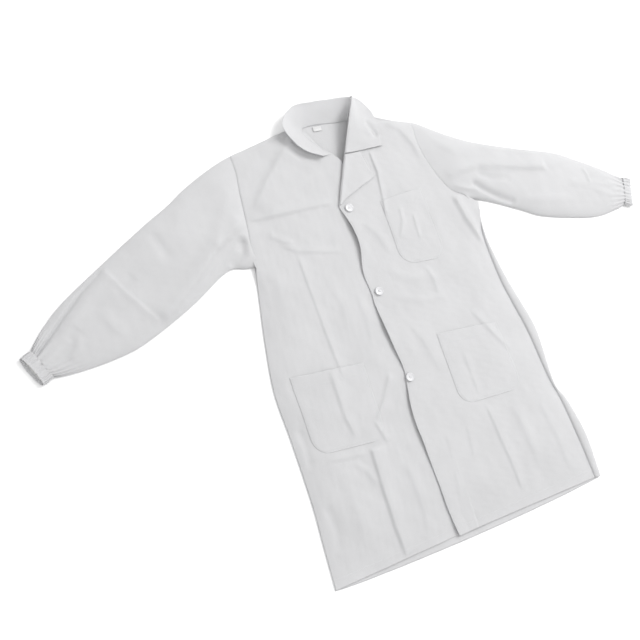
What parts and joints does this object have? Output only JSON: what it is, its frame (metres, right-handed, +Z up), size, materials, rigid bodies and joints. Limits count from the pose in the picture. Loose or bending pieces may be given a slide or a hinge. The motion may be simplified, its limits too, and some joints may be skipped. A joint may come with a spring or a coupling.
{
  "type": "lab coat",
  "caption": "Long-sleeved knee-length lab coat lying buttoned on its back, with a notch collar, patch pockets and elastic cuffs; sleeves and left lapel fold.",
  "frame": {"origin": "middle of the coat's box, on the surface that it lies on", "axes": "+X towards the wearer's left sleeve, +Y from the hem to the collar, +Z up from the surface"},
  "size_m": [1.6032, 1.054, 0.0423],
  "materials": {
    "poly_cotton": "white woven poly-cotton, matt",
    "interlining": "white fusible interlining",
    "elastic": "white braided elastic",
    "button": "white polyester resin, half gloss",
    "thread": "white spun polyester thread",
    "label": "blank white woven tape"
  },
  "bodies": {
    "shell": {"back_panel": "poly_cotton", "right_front_panel": "poly_cotton", "left_front_panel": "poly_cotton", "right_side_seam": "poly_cotton", "left_side_seam": "poly_cotton", "right_shoulder_seam": "poly_cotton", "left_shoulder_seam": "poly_cotton", "right_front_facing": "poly_cotton", "left_front_facing": "poly_cotton", "collar_stand": "poly_cotton", "right_hip_pocket": "poly_cotton", "left_hip_pocket": "poly_cotton", "chest_pocket": "poly_cotton", "neck_label": "label"},
    "right_arm": {"right_sleeve": "poly_cotton", "right_cuff": "poly_cotton", "right_cuff_elastic": "elastic"},
    "left_arm": {"left_sleeve": "poly_cotton", "left_cuff": "poly_cotton", "left_cuff_elastic": "elastic"},
    "left_collar": {"left_lapel": "poly_cotton", "under_collar": "poly_cotton", "collar_interlining": "interlining", "upper_collar": "poly_cotton"},
    "top_fastener": {"top_button": "button", "top_button_thread": "thread"},
    "middle_fastener": {"middle_button": "button", "middle_button_thread": "thread"},
    "bottom_fastener": {"bottom_button": "button", "bottom_button_thread": "thread"}
  },
  "joints": [
    {"name": "right_sleeve_fold", "type": "hinge", "parent": "shell", "child": "right_arm", "pos_m": [-0.27516, 0.3125, 0.023], "axis": [0.1051, 0.9945, 0], "range_deg": [0, 178]},
    {"name": "left_sleeve_fold", "type": "hinge", "parent": "shell", "child": "left_arm", "pos_m": [0.26484, 0.3225, 0.023], "axis": [0.3779, -0.9258, 0], "range_deg": [0, 165]},
    {"name": "left_collar_turn", "type": "hinge", "parent": "shell", "child": "left_collar", "pos_m": [-0.04916, 0.27, 0.0155], "axis": [-0.4135, -0.9062, -0.0881], "range_deg": [0, 110]},
    {"name": "top_button_swivel", "type": "hinge", "parent": "shell", "child": "top_fastener", "pos_m": [-0.02916, 0.262, 0.0145], "axis": [0, 0, 1], "range_deg": [-20, 20]},
    {"name": "middle_button_swivel", "type": "hinge", "parent": "shell", "child": "middle_fastener", "pos_m": [-0.02916, 0.055, 0.0145], "axis": [0, 0, 1], "range_deg": [-20, 20]},
    {"name": "bottom_button_swivel", "type": "hinge", "parent": "shell", "child": "bottom_fastener", "pos_m": [-0.02916, -0.152, 0.0145], "axis": [0, 0, 1], "range_deg": [-20, 20]}
  ]
}
